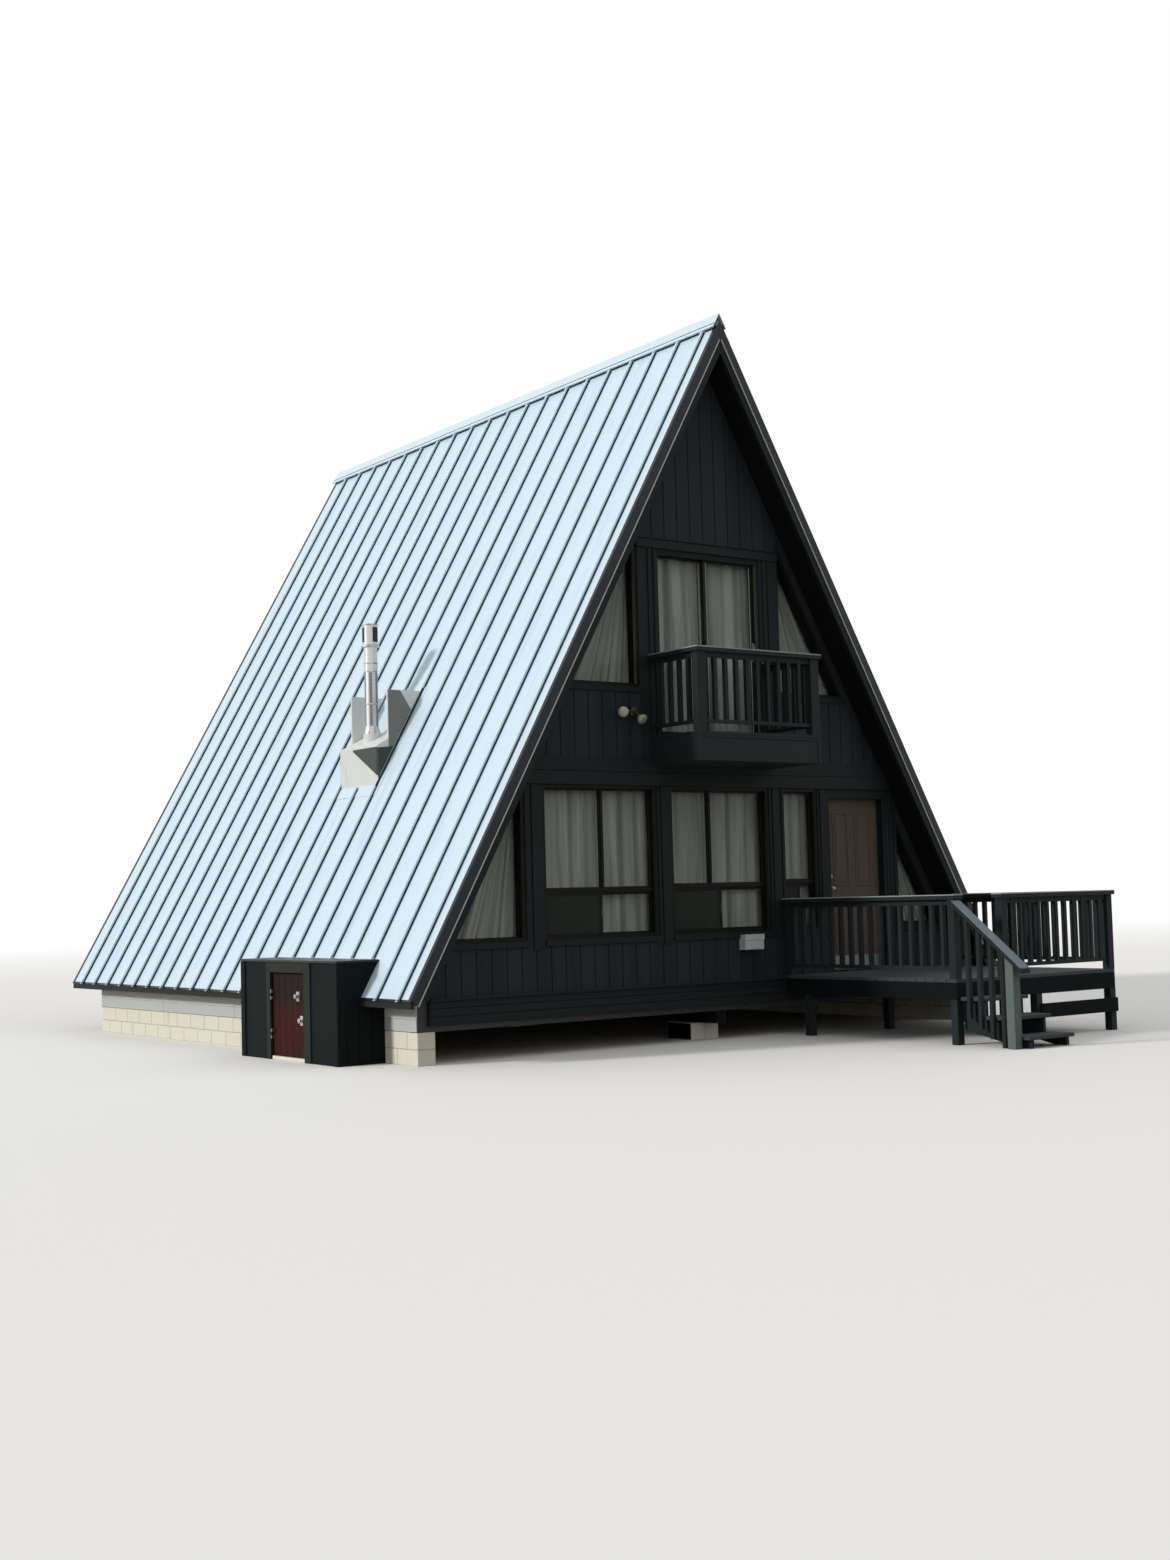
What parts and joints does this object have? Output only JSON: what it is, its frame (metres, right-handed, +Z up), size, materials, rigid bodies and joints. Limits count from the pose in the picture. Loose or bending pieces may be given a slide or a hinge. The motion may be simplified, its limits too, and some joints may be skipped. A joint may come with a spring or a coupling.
{
  "type": "a-frame cabin",
  "caption": "A-frame cabin with steep standing-seam slopes, a glazed front gable, a balcony, a front deck with steps and a low side access box.",
  "frame": {"origin": "on the ground, at the middle of the block foundation", "axes": "+X right along the front, +Y from the front to the back, +Z up"},
  "size_m": [8.7837, 12.158, 8.2083],
  "materials": {
    "block": "matt concrete block",
    "raw_wood": "unfinished softwood",
    "dark_paint": "satin charcoal paint",
    "siding": "grooved plywood siding, charcoal paint",
    "roof_metal": "standing seam, satin",
    "trim_metal": "satin",
    "stained_wood": "dark brown stain",
    "glass": "clear",
    "cloth": "woven curtain",
    "grey_metal": "satin",
    "flashing": "white flashing",
    "grey_paint": "dark grey deck paint",
    "door_paint": "light pinkish paint",
    "maroon_paint": "maroon paint",
    "plastic": "matt"
  },
  "bodies": {
    "cabin": {"foundation_left": "block", "foundation_right": "block", "centre_piers": "block", "girder": "raw_wood", "ground_floor": "dark_paint", "sill_band_front": "dark_paint", "roof_deck_left": "raw_wood", "roof_deck_right": "raw_wood", "roof_metal_left": "roof_metal", "roof_metal_right": "roof_metal", "ridge_cap": "trim_metal", "rake_trims": "trim_metal", "barge_boards": "dark_paint", "eave_fascias": "dark_paint", "loft_floor": "raw_wood", "wall_front_left": "siding", "wall_front_right": "siding", "belly_band_front": "dark_paint", "wall_front_gable": "siding", "wall_back_ground": "siding", "wall_back_gable": "siding", "bands_back": "dark_paint", "window_frames_front": "stained_wood", "window_glass_front": "glass", "slider_frame": "stained_wood", "curtains_front": "cloth", "curtain_rods": "grey_metal", "window_frames_back": "stained_wood", "window_glass_back": "glass", "entry_frame": "dark_paint", "door_hinges": "grey_metal", "balcony_floor": "grey_paint", "balcony_rail": "grey_paint", "side_walls": "siding", "side_door_head": "siding", "side_box_roof": "trim_metal", "flue_chase": "flashing", "flue_pipe": "grey_metal", "flood_light": "grey_metal", "wall_box": "plastic", "deck_platform": "grey_paint", "deck_posts": "grey_paint", "deck_rails": "grey_paint", "stair_treads": "grey_paint", "stair_stringers": "grey_paint", "stair_rail": "grey_paint"},
    "entry_leaf": {"entry_door": "door_paint"},
    "side_leaf": {"side_door": "maroon_paint"}
  },
  "joints": [
    {"name": "entry_hinge", "type": "hinge", "parent": "cabin", "child": "entry_leaf", "pos_m": [2.646, -3.98, 1.7], "axis": [0, 0, -1], "range_deg": [0, 90]},
    {"name": "side_hinge", "type": "hinge", "parent": "cabin", "child": "side_leaf", "pos_m": [-4.5, -2.034, 0.5], "axis": [0, 0, -1], "range_deg": [0, 100]}
  ]
}
